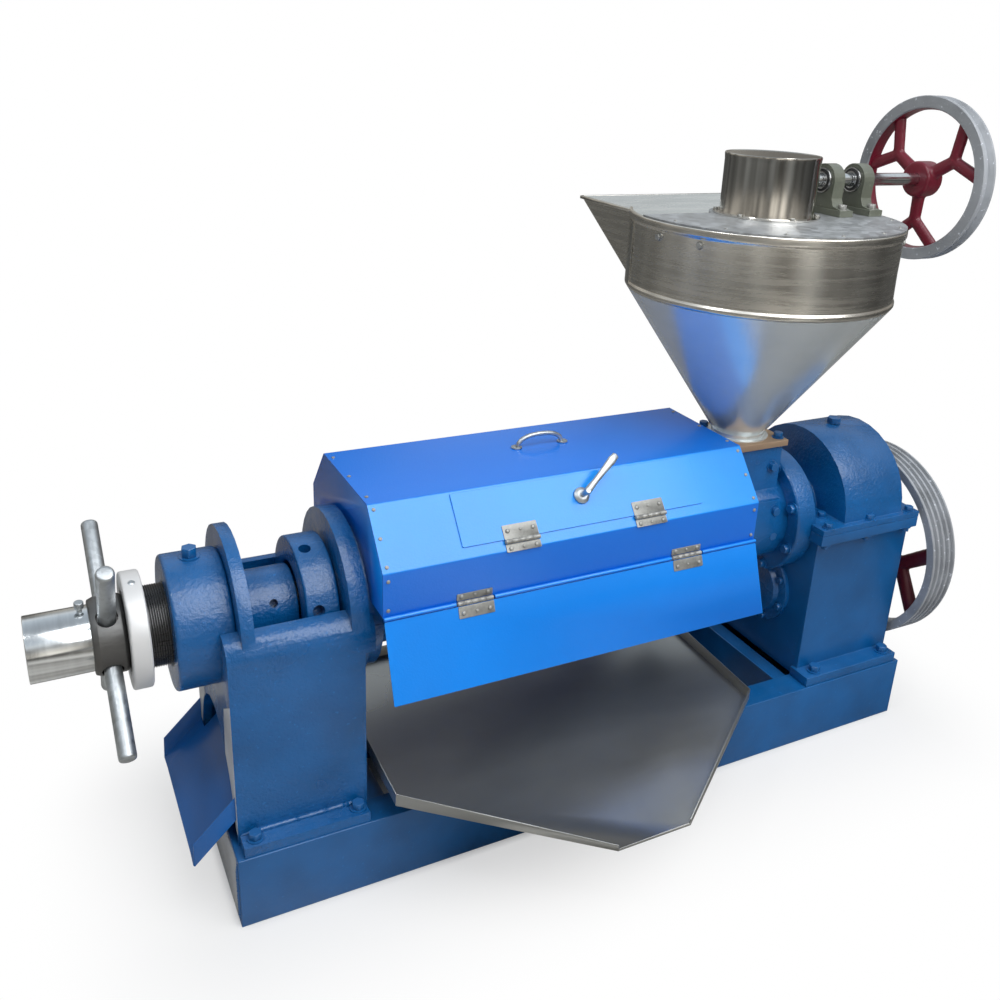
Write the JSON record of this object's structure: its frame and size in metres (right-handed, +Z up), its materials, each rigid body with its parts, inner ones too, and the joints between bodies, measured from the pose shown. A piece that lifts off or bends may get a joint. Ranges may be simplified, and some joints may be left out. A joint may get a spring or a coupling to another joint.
{
  "type": "screw oil press",
  "caption": "Screw oil press on a channel frame, with stirred feed hopper, guarded barrel, oil pan, gearbox, grooved pulley and adjustable cake outlet.",
  "frame": {"origin": "on the ground, at the middle of the channel frame's cake end", "axes": "+X along the pressing screw towards the drive pulley, -Y the operator's side, +Z up"},
  "size_m": [2.03, 0.9084, 1.501],
  "materials": {
    "casting_blue": "blue enamel over rough castings",
    "guard_blue": "bright blue gloss enamel",
    "chrome": "polished",
    "dark_steel": "machined, oiled",
    "zinc": "zinc plated",
    "silver_paint": "silver paint, machined rim",
    "worm_steel": "machined",
    "stainless": "bright rolled sheet",
    "galvanised": "galvanised",
    "pan_steel": "bare sheet",
    "raw_plate": "rusty raw plate",
    "olive": "olive grey paint",
    "crimson": "crimson paint with silver rim"
  },
  "bodies": {
    "frame": {"base_frame": "casting_blue", "cage_stand": "casting_blue", "cake_chute": "casting_blue", "nut_collar": "casting_blue", "collar_set_bolt": "casting_blue", "spanner_ring": "casting_blue", "barrel_upper": "casting_blue", "barrel_lower": "casting_blue", "feed_housing": "casting_blue", "throat_plate": "raw_plate", "hopper_cone": "stainless", "hopper_drum": "stainless", "hopper_lid": "galvanised", "bevel_can": "stainless", "pillow_block_1": "olive", "pillow_block_2": "olive", "gearbox_body": "casting_blue", "gearbox_cover": "casting_blue", "oil_plug": "casting_blue", "bearing_housing": "casting_blue", "lower_cap": "casting_blue", "seal_cap": "casting_blue", "guard_shell": "guard_blue", "guard_end_left": "guard_blue", "guard_end_right": "guard_blue", "door_hinge_1": "galvanised", "door_hinge_2": "galvanised", "flap_hinge_1": "galvanised", "flap_hinge_2": "galvanised", "lift_handle": "zinc", "oil_pan": "pan_steel"},
    "carriage": {"thrust_sleeve": "casting_blue"},
    "adjuster": {"adjusting_screw": "dark_steel", "adjusting_hub": "dark_steel", "outer_tube": "chrome", "tommy_bar_1": "zinc", "tommy_bar_2": "zinc", "tommy_bar_3": "zinc", "tommy_bar_4": "zinc"},
    "lock_ring": {"lock_ring": "silver_paint"},
    "press_screw": {"main_shaft": "worm_steel", "cone_ring": "worm_steel", "worm_1": "worm_steel", "worm_2": "worm_steel", "worm_3": "worm_steel", "worm_4": "worm_steel", "feed_worm": "worm_steel", "bull_gear": "worm_steel"},
    "input_drive": {"input_shaft": "worm_steel", "input_pinion": "worm_steel", "main_pulley": "silver_paint"},
    "agitator_drive": {"agitator_shaft": "zinc", "bevel_pinion": "worm_steel", "agitator_pulley": "crimson"},
    "stirrer": {"stirrer": "zinc", "crown_gear": "worm_steel"},
    "door": {"inspection_door": "guard_blue"},
    "latch": {"latch_lever": "zinc"},
    "flap": {"front_flap": "guard_blue"}
  },
  "joints": [
    {"name": "press_screw_spin", "type": "hinge", "parent": "frame", "child": "press_screw", "pos_m": [0.7, 0, 0.547], "axis": [1, 0, 0], "continuous": true},
    {"name": "input_spin", "type": "hinge", "parent": "frame", "child": "input_drive", "pos_m": [1.65, 0, 0.403], "axis": [1, 0, 0], "continuous": true},
    {"name": "agitator_spin", "type": "hinge", "parent": "frame", "child": "agitator_drive", "pos_m": [1.416, 0, 1.319], "axis": [1, 0, 0], "continuous": true},
    {"name": "stirrer_spin", "type": "hinge", "parent": "frame", "child": "stirrer", "pos_m": [1.21, 0, 1], "axis": [0, 0, 1], "continuous": true},
    {"name": "sleeve_slide", "type": "slide", "parent": "frame", "child": "carriage", "axis": [-1, 0, 0], "range_m": [0, 0.024]},
    {"name": "adjuster_turn", "type": "hinge", "parent": "carriage", "child": "adjuster", "pos_m": [-0.05, 0, 0.547], "axis": [-1, 0, 0], "range_deg": [0, 1080]},
    {"name": "lock_ring_travel", "type": "slide", "parent": "adjuster", "child": "lock_ring", "axis": [1, 0, 0], "range_m": [0, 0.0355]},
    {"name": "door_hinge", "type": "hinge", "parent": "frame", "child": "door", "pos_m": [0.7, -0.20709, 0.69851], "axis": [1, 0, 0], "range_deg": [0, 150]},
    {"name": "latch_turn", "type": "hinge", "parent": "door", "child": "latch", "pos_m": [0.698, -0.16312, 0.7436], "axis": [0, -0.7671, 0.6416], "range_deg": [0, 90]},
    {"name": "flap_hinge", "type": "hinge", "parent": "frame", "child": "flap", "pos_m": [0.7, -0.2186, 0.596], "axis": [-1, 0, 0], "range_deg": [0, 70]}
  ],
  "couplings": [
    {"joint": "input_spin", "follows": "press_screw_spin", "ratio": -3},
    {"joint": "stirrer_spin", "follows": "agitator_spin", "ratio": 0.5},
    {"joint": "sleeve_slide", "follows": "adjuster_turn", "m_per_rad": 0.0012732}
  ]
}
